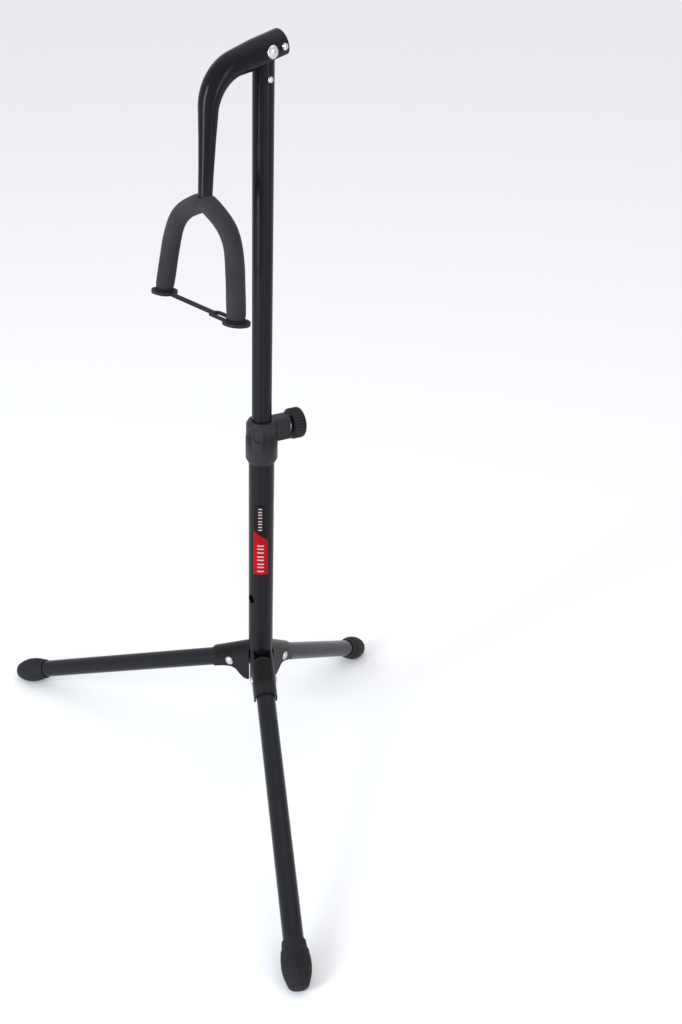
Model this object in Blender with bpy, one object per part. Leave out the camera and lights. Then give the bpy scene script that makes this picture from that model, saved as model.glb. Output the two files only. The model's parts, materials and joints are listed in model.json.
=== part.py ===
"""Folding guitar rack: a tripod stand with a telescopic column and a padded neck yoke."""

import math

import bmesh
import bpy
from mathutils import Matrix, Vector

# Lengths are in millimetres here and are scaled to metres when an object is made.
MM = 0.001
GAP = 0.3
# The row origin is the centre of the base of the bounding box; the column stands off it by this much.
COLUMN_X = 13.16
COLUMN_Y = -25.458

# Column
LOWER_R = 12.5
LOWER_WALL = 1.2
LOWER_Z = (147.0, 386.0)
UPPER_R = 9.5
UPPER_WALL = 1.2
UPPER_Z = (168.0, 734.0)
BUSH_R = (9.8, 11.0)
GLIDE_LENGTH = 25.0
TOP_BUSH_Z = (355.0, 385.6)
LOCK_HOLE_Z = 211.0
LOCK_HOLE_R = 4.6

# Legs: name, heading of the leg seen from above, radius at the middle of the foot
LEGS = (
    ("left", 202.9, 307.7),
    ("right", 327.6, 305.4),
    ("rear", 111.8, 226.9),
)
LEG_R = 9.5
LEG_WALL = 1.2
LEG_APEX_Z = 141.0
FOOT_Z = 14.4
PIVOT_RHO = 31.0
PIVOT_DROP = 1.0
LEG_STUB = 4.4
LEG_IN_FOOT = 31.4
FOOT_LENGTH = 43.0
FOOT_BORE = (9.8, 32.0)
FOOT_PROFILE = (
    (10.7, 0.0), (11.0, 0.6), (11.8, 8.0), (12.7, 8.8), (13.7, 17.0), (13.8, 23.0), (13.1, 29.0),
    (11.9, 33.8), (10.3, 38.2), (9.0, 41.2), (7.6, 42.5), (5.6, 43.0),
)
RIVET_SHANK = 3.0
RIVET_HOLE = 3.3

# Hub pressing
ARM_END = 57.0
ARM_STEEPER = 4.0
ARM_HALF_IN = 9.85
ARM_HALF_OUT = 11.85
ARM_ROOF_GAP = 0.45
SHEET = 2.1
FLANGE_DROP = (
    (7.9, 26.6), (10.0, 26.3), (12.5, 25.2), (15.1, 22.9), (18.9, 18.3), (23.4, 12.2), (27.0, 9.4),
    (31.0, 7.9), (40.0, 6.5), (57.0, 6.0),
)
PLATE_Z = (136.0, 138.5)
BOSS_R = 9.0

# Clamp collar and knob
COLLAR_PROFILE = ((13.4, 363.5), (15.5, 367.5), (15.5, 389.0), (15.0, 390.0), (15.0, 403.0), (12.8, 406.5))
CLAMP_HEADING = 79.0
CLAMP_Z = 396.0
BOSS_END = 27.0
KNOB_SPAN = (29.8, 42.0)
KNOB_R = 15.0
KNOB_LOBES = 18

# Neck arm
HINGE_Z = 741.0
TAIL_LENGTH = 17.8
TAIL_R = 12.4
TAIL_RIVET_BACK = 13.2
TAIL_SLOPE = 13.6
STEM_SLOPE = 86.35
BEND_RADIUS = 38.0
BEND_CORNER = 57.6
ARM_WALL = 1.2
ARM_SLOT_FRONT = 13.4
INSERT_RIVET_Z = 718.6

# Yoke
APEX = Vector((0.0, -62.0, 624.7))
YOKE_LEAN = 5.5
YOKE_CURVE = ((0.0, 0.0), (47.2, 17.5), (42.8, 24.9), (53.0, 86.6))
YOKE_HALF, YOKE_DROP = YOKE_CURVE[3]
TIP_LENGTH = 5.5
FOAM_TIP = 1.4
ROD_R = 4.0
FOAM_R = (4.4, 8.7)

COLORS = {
    "tube_black": ((0.035, 0.035, 0.042), 0.32, 0.6),
    "hub_black": ((0.04, 0.04, 0.045), 0.38, 0.6),
    "plastic_dark": ((0.055, 0.055, 0.06), 0.55, 0.0),
    "rubber_grey": ((0.09, 0.09, 0.095), 0.75, 0.0),
    "foam_grey": ((0.1, 0.1, 0.11), 0.9, 0.0),
    "rivet_steel": ((0.8, 0.8, 0.82), 0.25, 1.0),
    "screw_steel": ((0.45, 0.45, 0.47), 0.35, 1.0),
    "brass": ((0.6, 0.45, 0.2), 0.35, 1.0),
    "nylon": ((0.75, 0.74, 0.7), 0.5, 0.0),
    "label_dark": ((0.03, 0.03, 0.035), 0.35, 0.0),
    "label_red": ((0.6, 0.03, 0.05), 0.35, 0.0),
}

# Bores and heads of the rivets
INSERT_RIVET_BORE = 2.3
HINGE_BORE = 3.8
TAIL_BORE = 1.8
INSERT_RIVET_SIZE = (2.0, 2.7, 1.4)
HINGE_RIVET_SIZE = (3.5, 5.6, 2.4)
LEG_RIVET_HEAD = (4.6, 2.0)
CUT_REACH = 15.0

# Turned profiles as (radius, height along the axis)
INSERT_PLUG = ((0.0, 690.0), (7.4, 690.0), (8.0, 691.0), (8.0, UPPER_Z[1] + GAP),
               (UPPER_R, UPPER_Z[1] + GAP))
COLLAR_BORE = ((9.8, 406.5), (9.8, LOWER_Z[1] + GAP), (LOWER_R + GAP, LOWER_Z[1] + GAP),
               (LOWER_R + GAP, 363.5))
CLAMP_SCREW = ((0.0, 12.4), (2.4, 12.4), (3.0, 13.0), (3.0, 37.6), (2.6, 38.0), (0.0, 38.0))
CLAMP_PAD = ((0.0, 9.95), (2.6, 10.2), (3.0, 10.6), (3.0, 12.1), (0.0, 12.1))
CLAMP_NUT = ((5.4, 17.1), (5.4, 21.9), (3.5, 21.9), (3.5, 17.1))
CLAMP_WASHER = ((8.2, 27.3), (8.2, 28.3), (3.4, 28.3), (3.4, 27.3))
COLUMN_PLUG = ((4.4, LOWER_Z[0]), (10.4, LOWER_Z[0]), (11.0, LOWER_Z[0] + 0.6), (11.0, 162.0), (10.0, 163.0),
               (4.4, 163.0))
BASE_WASHER = ((4.4, 134.2), (10.0, 134.2), (10.0, 135.7), (4.4, 135.7))
BASE_SHANK = ((0.0, 133.9), (4.0, 133.9), (4.0, 159.4), (3.4, 160.0), (0.0, 160.0))
BASE_HEAD = ((0.0, 128.4), (6.3, 128.4), (7.2, 129.2), (7.2, 133.9), (0.0, 133.9))
TAIL_STUB = ((0.0, 10.3), (1.5, 10.3), (1.5, 12.7), (3.0, 12.7), (2.7, 13.4), (1.6, 14.0), (0.0, 14.2))
TIP_PROFILE = ((0.0, 4.4), (4.3, 4.4), (4.3, 0.0), (8.5, 0.0), (8.9, 0.3), (8.9, 0.9), (8.5, 1.2),
               (8.2, 1.2), (8.2, 4.6), (8.7, 4.6), (8.9, 4.9), (8.6, 5.4), (7.6, 5.8), (0.0, 6.2))

# Boss on the side of the collar, seen end on: (across, height), and the groove down its front
BOSS_OUTLINE = ((-8.0, 384.5), (-4.0, 382.5), (4.0, 382.5), (8.0, 384.5), (8.0, 404.5), (6.5, 406.2),
                (-6.5, 406.2), (-8.0, 404.5))
BOSS_START = 11.2
GROOVE_HEADING = 307.0
GROOVE_STEPS = ((391.0, 410.0, 4.3), (388.6, 391.2, 3.3))

# Neck arm outside its straight tail
BEND_START_R = 11.2
BEND_END_R = 8.7
BEND_SWELL = 2.4
STEM_RADII = ((675.0, 7.5), (652.0, 6.7), (629.3, 6.25))

# Elastic strap: heights of its band in the groove, half widths of ring, eyelet, slot and band
STRAP_Z = (1.5, 4.3)
STRAP_RING = (12.0, 8.5)
STRAP_EYELET = (6.4, 3.4)
STRAP_BAND = 2.6
EYELET_X = (25.0, 27.0)

RIGHTWARD = Vector((1.0, 0.0, 0.0))
BACKWARD = Vector((0.0, 1.0, 0.0))


def clear_scene():
    for obj in list(bpy.data.objects):
        bpy.data.objects.remove(obj, do_unlink=True)


def material(slot):
    mat = bpy.data.materials.get(slot)
    if mat:
        return mat
    color, rough, metal = COLORS[slot]
    mat = bpy.data.materials.new(slot)
    mat.use_nodes = True
    shader = mat.node_tree.nodes["Principled BSDF"]
    shader.inputs["Base Color"].default_value = (*color, 1.0)
    shader.inputs["Roughness"].default_value = rough
    shader.inputs["Metallic"].default_value = metal
    return mat


def axis_frame(origin, direction, side=Vector((0.0, 0.0, 1.0))):
    """Matrix whose local Z runs along direction, placed at origin."""
    z = Vector(direction).normalized()
    x = side.cross(z)
    if x.length < 1e-6:
        x = Vector((1.0, 0.0, 0.0))
    x.normalize()
    y = z.cross(x)
    rows = Matrix((x, y, z)).transposed().to_4x4()
    return Matrix.Translation(Vector(origin)) @ rows


def heading(deg):
    a = math.radians(deg)
    return Vector((math.cos(a), math.sin(a), 0.0))


def tangent(deg):
    a = math.radians(deg)
    return Vector((-math.sin(a), math.cos(a), 0.0))


def loft(rings, closed=False):
    """Solid through rings of points; a ring of one point is a pole."""
    bm = bmesh.new()
    made = [[bm.verts.new(p) for p in ring] for ring in rings]
    pairs = list(zip(made, made[1:]))
    if closed:
        pairs.append((made[-1], made[0]))
    for a, b in pairs:
        n = max(len(a), len(b))
        for i in range(n):
            j = (i + 1) % n
            if len(a) == 1:
                bm.faces.new((a[0], b[j], b[i]))
            elif len(b) == 1:
                bm.faces.new((a[i], a[j], b[0]))
            else:
                bm.faces.new((a[i], a[j], b[j], b[i]))
    if not closed:
        for ring in (made[0], made[-1]):
            if len(ring) > 2:
                bm.faces.new(ring)
    bmesh.ops.recalc_face_normals(bm, faces=bm.faces)
    return bm


def ellipse(matrix, rx, ry, segments):
    if rx < 1e-6:
        return [matrix @ Vector((0.0, 0.0, 0.0))]
    step = 2.0 * math.pi / segments
    turns = [i * step for i in range(segments)]
    return [matrix @ Vector((rx * math.cos(a), ry * math.sin(a), 0.0)) for a in turns]


def revolve(profile, matrix=None, segments=24, closed=False):
    """Solid of revolution from (radius, height) points."""
    base = matrix or Matrix()
    rings = [ellipse(base @ Matrix.Translation((0.0, 0.0, h)), r, r, segments) for r, h in profile]
    return loft(rings, closed)


def pipe(r_out, r_in, z0, z1, matrix=None, segments=24, chamfer=0.0):
    c = chamfer
    profile = [(r_in, z0), (r_out - c, z0), (r_out, z0 + c), (r_out, z1 - c), (r_out - c, z1), (r_in, z1)]
    if not c:
        profile = [(r_in, z0), (r_out, z0), (r_out, z1), (r_in, z1)]
    return revolve(profile, matrix, segments, closed=True)


def prism(outline, z0, z1, matrix=None):
    base = matrix or Matrix()
    rings = [[base @ Vector((x, y, z)) for x, y in outline] for z in (z0, z1)]
    return loft(rings)


def block(lo, hi, matrix=None):
    outline = ((lo[0], lo[1]), (hi[0], lo[1]), (hi[0], hi[1]), (lo[0], hi[1]))
    return prism(outline, lo[2], hi[2], matrix)


def mesh_object(name, bm, slot=None):
    mesh = bpy.data.meshes.new(name)
    bm.to_mesh(mesh)
    bm.free()
    obj = bpy.data.objects.new(name, mesh)
    bpy.context.scene.collection.objects.link(obj)
    if slot:
        mesh.materials.append(material(slot))
    return obj


def combine(obj, bm, operation):
    """Join, cut or intersect obj with a closed mesh."""
    tool = mesh_object("tool", bm)
    mod = obj.modifiers.new("combine", "BOOLEAN")
    mod.operation = operation
    mod.solver = "EXACT"
    mod.object = tool
    depsgraph = bpy.context.evaluated_depsgraph_get()
    result = bpy.data.meshes.new_from_object(obj.evaluated_get(depsgraph))
    obj.modifiers.clear()
    old = obj.data
    obj.data = result
    bpy.data.meshes.remove(old)
    tool_mesh = tool.data
    bpy.data.objects.remove(tool, do_unlink=True)
    bpy.data.meshes.remove(tool_mesh)


def cut(obj, bm):
    combine(obj, bm, "DIFFERENCE")


def place(obj, origin=(0.0, 0.0, 0.0)):
    """Put the object's origin on its joint axis and bring everything to metres in the row frame."""
    origin = Vector(origin)
    mesh = obj.data
    name = obj.name
    mesh.name = name
    mesh.transform(Matrix.Scale(MM, 4) @ Matrix.Translation(-origin))
    obj.location = (origin + Vector((COLUMN_X, COLUMN_Y, 0.0))) * MM
    for poly in mesh.polygons:
        poly.use_smooth = True
    mesh.set_sharp_from_angle(angle=math.radians(35.0))
    return obj


def rivet(name, center, direction, reach, shank, head, dome, slot="rivet_steel"):
    """Rivet with a domed head at each end; reach is from the middle to under a head."""
    profile = [(0.0, -reach - dome), (head * 0.55, -reach - dome * 0.85), (head * 0.9, -reach - dome * 0.4)]
    profile += [(head, -reach), (shank, -reach), (shank, reach), (head, reach)]
    profile += [(head * 0.9, reach + dome * 0.4), (head * 0.55, reach + dome * 0.85), (0.0, reach + dome)]
    return mesh_object(name, revolve(profile, axis_frame(center, direction), 20), slot)


# ---------------------------------------------------------------- column


def build_lower_tube():
    obj = mesh_object("lower_tube", pipe(LOWER_R, LOWER_R - LOWER_WALL, *LOWER_Z, segments=32), "tube_black")
    frame = axis_frame((0.0, 0.0, LOCK_HOLE_Z), -BACKWARD)
    cut(obj, revolve([(LOCK_HOLE_R, 5.0), (LOCK_HOLE_R, 16.0)], frame, 20))
    place(obj)


def sticker(name, slot, facing, half_angle, bottom, top, steps=10):
    """Thin curved label just off the lower tube; bottom and top give the edge heights at its two ends."""
    inner = LOWER_R + GAP
    outer = inner + 0.3
    rings = []
    for i in range(steps + 1):
        share = i / steps
        out = heading(facing + half_angle * (2.0 * share - 1.0))
        z0 = bottom[0] + (bottom[1] - bottom[0]) * share
        z1 = top[0] + (top[1] - top[0]) * share
        corners = ((inner, z0), (outer, z0), (outer, z1), (inner, z1))
        rings.append([out * r + Vector((0.0, 0.0, z)) for r, z in corners])
    place(mesh_object(name, loft(rings), slot))


def build_column_fittings():
    place(mesh_object("column_bush", pipe(BUSH_R[1], BUSH_R[0], *TOP_BUSH_Z, segments=28), "nylon"))
    glide = pipe(BUSH_R[1], BUSH_R[0], UPPER_Z[0], UPPER_Z[0] + GLIDE_LENGTH, segments=28)
    place(mesh_object("glide_sleeve", glide, "nylon"), (0.0, 0.0, UPPER_Z[0]))


def cut_across(obj, center, radius, segments):
    """Round hole from side to side."""
    cut(obj, revolve([(radius, -CUT_REACH), (radius, CUT_REACH)], axis_frame(center, RIGHTWARD), segments))


def build_upper_tube():
    obj = mesh_object("upper_tube", pipe(UPPER_R, UPPER_R - UPPER_WALL, *UPPER_Z, segments=32), "tube_black")
    cut_across(obj, (0.0, 0.0, INSERT_RIVET_Z), INSERT_RIVET_BORE, 14)
    place(obj, (0.0, 0.0, UPPER_Z[0]))


def build_pivot_insert():
    """Plug in the top of the column with a round head that carries the arm."""
    profile = list(INSERT_PLUG)
    profile += [(UPPER_R * math.cos(math.radians(a)), HINGE_Z + UPPER_R * math.sin(math.radians(a)))
                for a in (0, 15, 30, 45, 60, 75)]
    profile.append((0.0, HINGE_Z + UPPER_R))
    obj = mesh_object("pivot_insert", revolve(profile, segments=32), "hub_black")
    cut_across(obj, (0.0, 0.0, HINGE_Z), HINGE_BORE, 20)
    rivet_at = (0.0, 0.0, INSERT_RIVET_Z)
    cut_across(obj, rivet_at, INSERT_RIVET_BORE, 14)
    origin = (0.0, 0.0, UPPER_Z[0])
    place(obj, origin)
    place(rivet("insert_rivet", rivet_at, RIGHTWARD, UPPER_R + GAP, *INSERT_RIVET_SIZE), origin)


# ---------------------------------------------------------------- clamp


def clamp_frame():
    return axis_frame((0.0, 0.0, CLAMP_Z), heading(CLAMP_HEADING))


def build_collar():
    ring = revolve(COLLAR_PROFILE + COLLAR_BORE, segments=32, closed=True)
    obj = mesh_object("clamp_collar", ring, "plastic_dark")
    turn = Matrix.Rotation(math.radians(CLAMP_HEADING), 4, "Z")
    lay = turn @ Matrix(((0, 0, 1, 0), (1, 0, 0, 0), (0, 1, 0, 0), (0, 0, 0, 1)))
    combine(obj, prism(BOSS_OUTLINE, BOSS_START, BOSS_END, lay), "UNION")
    cut(obj, revolve([(LOWER_R + GAP, 360.0), (LOWER_R + GAP, LOWER_Z[1] + GAP)], segments=40))
    cut(obj, revolve([(3.55, 5.0), (3.55, 32.0)], clamp_frame(), 20))
    cut(obj, revolve([(5.9, 16.7), (5.9, 22.3)], clamp_frame(), 6))
    groove = Matrix.Rotation(math.radians(GROOVE_HEADING), 4, "Z")
    for z0, z1, half_w in GROOVE_STEPS:
        cut(obj, block((13.9, -half_w, z0), (18.0, half_w, z1), groove))
    place(obj)


def build_clamp_screw():
    frame = clamp_frame()
    origin = frame.translation
    place(mesh_object("clamp_screw", revolve(CLAMP_SCREW, frame, 16), "screw_steel"), origin)
    place(mesh_object("clamp_pad", revolve(CLAMP_PAD, frame, 16), "nylon"), origin)
    place(mesh_object("clamp_nut", revolve(CLAMP_NUT, frame, 6, closed=True), "brass"))
    place(mesh_object("clamp_washer", revolve(CLAMP_WASHER, frame, 24, closed=True), "screw_steel"), origin)


def knob_ring(frame, radius, depth, h):
    ring = []
    count = KNOB_LOBES * 2
    for i in range(count):
        r = radius - (depth if i % 2 else 0.0)
        a = 2.0 * math.pi * i / count
        ring.append(frame @ Vector((r * math.cos(a), r * math.sin(a), h)))
    return ring


def build_knob():
    frame = clamp_frame()
    h0, h1 = KNOB_SPAN
    spans = [(3.3, 0.0, 38.4), (3.3, 0.0, 28.6), (6.6, 0.0, 28.6), (7.2, 0.0, 29.2), (7.2, 0.0, h0 + 1.0)]
    spans += [(10.5, 0.0, h0 + 1.0), (11.5, 0.0, h0), (KNOB_R - 1.2, 0.4, h0), (KNOB_R, 1.0, h0 + 1.2)]
    spans += [(KNOB_R, 1.0, h1 - 1.6), (KNOB_R - 1.6, 0.5, h1), (9.5, 0.0, h1), (8.5, 0.0, h1 - 0.8)]
    rings = [[frame @ Vector((0.0, 0.0, 38.4))]]
    rings += [knob_ring(frame, r, d, h) for r, d, h in spans]
    rings.append([frame @ Vector((0.0, 0.0, h1 - 0.8))])
    place(mesh_object("clamp_knob", loft(rings), "plastic_dark"), frame.translation)


# ---------------------------------------------------------------- hub and legs


def leg_slope(radius):
    return math.atan2(LEG_APEX_Z - FOOT_Z, radius)


def leg_point(az, radius, rho, lift=0.0):
    return heading(az) * rho + Vector((0.0, 0.0, LEG_APEX_Z - math.tan(leg_slope(radius)) * rho + lift))


def leg_pivot(az, radius):
    return leg_point(az, radius, PIVOT_RHO, -PIVOT_DROP)


def flange_drop(rho):
    table = FLANGE_DROP
    for (r0, d0), (r1, d1) in zip(table, table[1:]):
        if rho <= r1:
            return d0 + (d1 - d0) * max(0.0, rho - r0) / (r1 - r0)
    return table[-1][1]


def side_start(az, other):
    """Distance out from the column at which a flange starts, clear of the flange next to it."""
    half = math.radians(abs((other - az + 180.0) % 360.0 - 180.0) / 2.0)
    return max(7.0, ARM_HALF_OUT / math.tan(half) + 1.7)


def arm_section(az, radius, rho, starts):
    slope = leg_slope(radius)
    extra = math.tan(slope + math.radians(ARM_STEEPER)) - math.tan(slope)
    axis_z = LEG_APEX_Z - math.tan(slope) * rho + ARM_ROOF_GAP + (ARM_END - rho) * extra
    leg_z = LEG_APEX_Z - math.tan(slope) * rho
    rise_in = LEG_R / math.cos(slope)
    lows = [axis_z - 2.0 if rho < s - 0.05 else leg_z - flange_drop(rho) for s in starts]
    arc = [math.pi * i / 8 for i in range(9)]
    points = [(ARM_HALF_OUT, lows[0])]
    points += [(ARM_HALF_OUT * math.cos(a), axis_z + (rise_in + SHEET) * math.sin(a)) for a in arc]
    points += [(-ARM_HALF_OUT, lows[1]), (-ARM_HALF_IN, lows[1])]
    points += [(ARM_HALF_IN * math.cos(a), axis_z + rise_in * math.sin(a)) for a in reversed(arc)]
    points.append((ARM_HALF_IN, lows[0]))
    out, side = heading(az), tangent(az)
    return [out * rho + side * t + Vector((0.0, 0.0, z)) for t, z in points]


def hub_arm(az, radius, after, before):
    """Inverted-U arm over one leg; its side flanges flare down beside the column."""
    starts = (side_start(az, after), side_start(az, before))
    rhos = {7.0, 13.0, 18.5, 25.4, 32.0, 42.0, ARM_END}
    for s in starts:
        rhos |= {s, s - 0.1}
    rhos = sorted(r for r in rhos if r >= min(starts))
    return loft([arm_section(az, radius, rho, starts) for rho in rhos])


def build_hub():
    order = sorted(LEGS, key=lambda leg: leg[1])
    boss = revolve([(BOSS_R, PLATE_Z[0]), (BOSS_R, LOWER_Z[0] - GAP)], segments=28)
    obj = mesh_object("leg_hub", boss, "hub_black")
    combine(obj, revolve([(13.0, PLATE_Z[0]), (13.0, PLATE_Z[1])], segments=28), "UNION")
    for i, (_, az, radius) in enumerate(order):
        turn = Matrix.Rotation(math.radians(az), 4, "Z")
        inset = 0.15 * (i + 1)
        web = block((4.0, -11.0, PLATE_Z[0] + inset), (16.0 + inset, 11.0, PLATE_Z[1] - inset), turn)
        combine(obj, web, "UNION")
        after = order[(i + 1) % 3][1]
        before = order[i - 1][1]
        combine(obj, hub_arm(az, radius, after, before), "UNION")
    cut(obj, revolve([(LOWER_R + 0.35, LOWER_Z[0] - 0.15), (LOWER_R + 0.35, 180.0)], segments=32))
    front = Matrix.Rotation(math.radians(LEGS[1][1]), 4, "Z")
    cut(obj, block((5.0, -8.6, LOWER_Z[0] - 5.0), (20.0, 8.6, 180.0), front))
    cut(obj, revolve([(BOSS_R + 0.02, LOWER_Z[0] - GAP), (BOSS_R + 0.02, 180.0)], segments=28))
    cut(obj, revolve([(4.4, 120.0), (4.4, 160.0)], segments=20))
    for _, az, radius in LEGS:
        slope = leg_slope(radius)
        down = heading(az) * math.cos(slope) - Vector((0.0, 0.0, math.sin(slope)))
        corner = leg_point(az, radius, ARM_END - 0.4, ARM_ROOF_GAP + LEG_R / math.cos(slope) + SHEET)
        cut(obj, block((-40.0, -40.0, 0.0), (40.0, 40.0, 25.0), axis_frame(corner, down)))
        hole = [(RIVET_HOLE, -14.0), (RIVET_HOLE, 14.0)]
        cut(obj, revolve(hole, axis_frame(leg_pivot(az, radius), tangent(az)), 18))
    place(obj)


def build_hub_fixings():
    place(mesh_object("column_plug", revolve(COLUMN_PLUG, segments=28, closed=True), "screw_steel"))
    place(mesh_object("base_washer", revolve(BASE_WASHER, segments=28, closed=True), "screw_steel"))
    screw = mesh_object("base_screw", revolve(BASE_SHANK, segments=18), "screw_steel")
    combine(screw, revolve(BASE_HEAD, segments=6), "UNION")
    place(screw)


def flatten_on_floor(bm):
    """Cut away what would be below the floor, leaving a flat contact patch."""
    found = bmesh.ops.bisect_plane(bm, geom=bm.verts[:] + bm.edges[:] + bm.faces[:], dist=1e-4,
                                   plane_co=(0.0, 0.0, 0.0), plane_no=(0.0, 0.0, 1.0), clear_inner=True)
    edges = [e for e in found["geom_cut"] if isinstance(e, bmesh.types.BMEdge)]
    bmesh.ops.contextual_create(bm, geom=edges)
    bmesh.ops.recalc_face_normals(bm, faces=bm.faces)


def build_leg(name, az, radius):
    slope = leg_slope(radius)
    down = heading(az) * math.cos(slope) - Vector((0.0, 0.0, math.sin(slope)))
    pivot = leg_pivot(az, radius)
    middle = leg_point(az, radius, radius)
    mouth = middle - down * (FOOT_LENGTH / 2.0)
    start = leg_point(az, radius, PIVOT_RHO) - down * LEG_STUB
    length = (mouth - start).length + LEG_IN_FOOT
    shell = pipe(LEG_R, LEG_R - LEG_WALL, 0.0, length, axis_frame(start, down), segments=28)
    tube = mesh_object(f"leg_tube_{name}", shell, "tube_black")
    cut(tube, revolve([(RIVET_HOLE, -14.0), (RIVET_HOLE, 14.0)], axis_frame(pivot, tangent(az)), 18))
    place(tube, pivot)
    bore_r, bore_depth = FOOT_BORE
    profile = [(0.0, bore_depth), (bore_r, bore_depth), (bore_r, 0.0), *FOOT_PROFILE, (0.0, FOOT_LENGTH)]
    foot = revolve(profile, axis_frame(mouth, down), 24)
    flatten_on_floor(foot)
    place(mesh_object(f"foot_{name}", foot, "rubber_grey"), pivot)
    place(rivet(f"leg_rivet_{name}", pivot, tangent(az), ARM_HALF_OUT + GAP, RIVET_SHANK, *LEG_RIVET_HEAD))


# ---------------------------------------------------------------- neck arm and yoke


def arm_path():
    """Stations along the neck arm from its tail to its stem: (point, direction, radius)."""
    slope = math.radians(TAIL_SLOPE)
    ahead = Vector((0.0, -math.cos(slope), -math.sin(slope)))
    hinge = Vector((0.0, 0.0, HINGE_Z))
    turn = math.radians(STEM_SLOPE - TAIL_SLOPE)
    reach = BEND_RADIUS * math.tan(turn / 2.0)
    start = hinge + ahead * (BEND_CORNER - reach)
    inward = Vector((0.0, math.sin(slope), -math.cos(slope)))
    center = start + inward * BEND_RADIUS
    stations = [(hinge - ahead * TAIL_LENGTH, ahead, TAIL_R), (hinge + ahead * 10.0, ahead, TAIL_R)]
    stations.append((start, ahead, BEND_START_R))
    bends = 9
    for i in range(1, bends + 1):
        a = turn * i / bends
        out = -inward * math.cos(a) + ahead * math.sin(a)
        direction = ahead * math.cos(a) + inward * math.sin(a)
        radius = BEND_END_R + BEND_SWELL * (1.0 - (i / bends) ** 2)
        stations.append((center + out * BEND_RADIUS, direction, radius))
    last, direction, _ = stations[-1]
    for z, radius in STEM_RADII:
        stations.append((last + direction * ((last.z - z) / -direction.z), direction, radius))
    return stations


def build_neck_arm():
    outer, inner = [], []
    for point, direction, radius in arm_path():
        frame = axis_frame(point, direction, RIGHTWARD)
        outer.append(ellipse(frame, radius, radius, 24))
        inner.append(ellipse(frame, radius - ARM_WALL, radius - ARM_WALL, 24))
    obj = mesh_object("neck_arm", loft(outer + inner[::-1], closed=True), "tube_black")
    slope = math.radians(TAIL_SLOPE)
    ahead = Vector((0.0, -math.cos(slope), -math.sin(slope)))
    hinge = Vector((0.0, 0.0, HINGE_Z))
    frame = axis_frame(hinge, ahead, RIGHTWARD)
    cut(obj, block((0.5, -UPPER_R - GAP, -30.0), (16.0, UPPER_R + GAP, ARM_SLOT_FRONT), frame))
    cut_across(obj, hinge, HINGE_BORE, 20)
    tail = axis_frame(hinge - ahead * TAIL_RIVET_BACK, RIGHTWARD)
    cut(obj, revolve([(TAIL_BORE, 5.0), (TAIL_BORE, CUT_REACH)], tail, 14))
    place(obj, hinge)
    place(rivet("hinge_rivet", hinge, RIGHTWARD, TAIL_R + GAP, *HINGE_RIVET_SIZE), hinge)
    place(mesh_object("tail_rivet", revolve(TAIL_STUB, tail, 16), "rivet_steel"), hinge)


def yoke_down():
    lean = math.radians(YOKE_LEAN)
    return Vector((0.0, -math.sin(lean), -math.cos(lean)))


def yoke_curve(side, steps, tip):
    """Points of one side of the yoke from its apex to the end of its straight tip."""
    down = yoke_down()
    (_, _), (x1, d1), (x2, d2), (x3, d3) = YOKE_CURVE
    points = []
    for i in range(steps + 1):
        t = i / steps
        a, b, c = 3.0 * t * (1.0 - t) ** 2, 3.0 * t * t * (1.0 - t), t ** 3
        across, fall = a * x1 + b * x2 + c * x3, a * d1 + b * d2 + c * d3
        points.append(APEX + Vector((side * across, 0.0, 0.0)) + down * fall)
    points.append(APEX + Vector((side * YOKE_HALF, 0.0, 0.0)) + down * (YOKE_DROP + tip))
    return points


def directions(points):
    out = []
    for i in range(len(points)):
        a = points[max(0, i - 1)]
        b = points[min(len(points) - 1, i + 1)]
        out.append((b - a).normalized())
    return out


def sweep(points, radius, segments, hint):
    rings = []
    for point, direction in zip(points, directions(points)):
        rings.append(ellipse(axis_frame(point, direction, hint), radius, radius, segments))
    return rings


def build_yoke():
    hinge = Vector((0.0, 0.0, HINGE_Z))
    normal = RIGHTWARD.cross(yoke_down())
    left = yoke_curve(-1.0, 11, TIP_LENGTH)
    right = yoke_curve(1.0, 11, TIP_LENGTH)
    path = left[::-1] + right[1:]
    place(mesh_object("yoke_rod", loft(sweep(path, ROD_R, 12, normal)), "hub_black"), hinge)
    for side, tag in ((-1.0, "left"), (1.0, "right")):
        points = yoke_curve(side, 11, FOAM_TIP)
        points[0] = points[0] + Vector((side * 0.2, 0.0, 0.0))
        rings = [sweep(points, r, 18, normal) for r in FOAM_R]
        for ring_set in rings:
            for p in ring_set[0]:
                p.x = side * 0.2
        foam = mesh_object(f"foam_sleeve_{tag}", loft(rings[1] + rings[0][::-1], closed=True), "foam_grey")
        cut(foam, revolve([(6.7, 625.7), (6.7, 650.0)], Matrix.Translation((0.0, APEX.y, 0.0)), 20))
        place(foam, hinge)
        build_tip(side, tag, hinge)
    build_strap(hinge)


def tip_frame(side):
    down = yoke_down()
    start = APEX + Vector((side * YOKE_HALF, 0.0, 0.0)) + down * (YOKE_DROP + FOAM_TIP + GAP)
    return axis_frame(start, down, BACKWARD)


def build_tip(side, tag, hinge):
    """Shallow cap on the end of the foam, with a groove that holds the strap."""
    place(mesh_object(f"tip_cap_{tag}", revolve(TIP_PROFILE, tip_frame(side), 24), "rubber_grey"), hinge)


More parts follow.
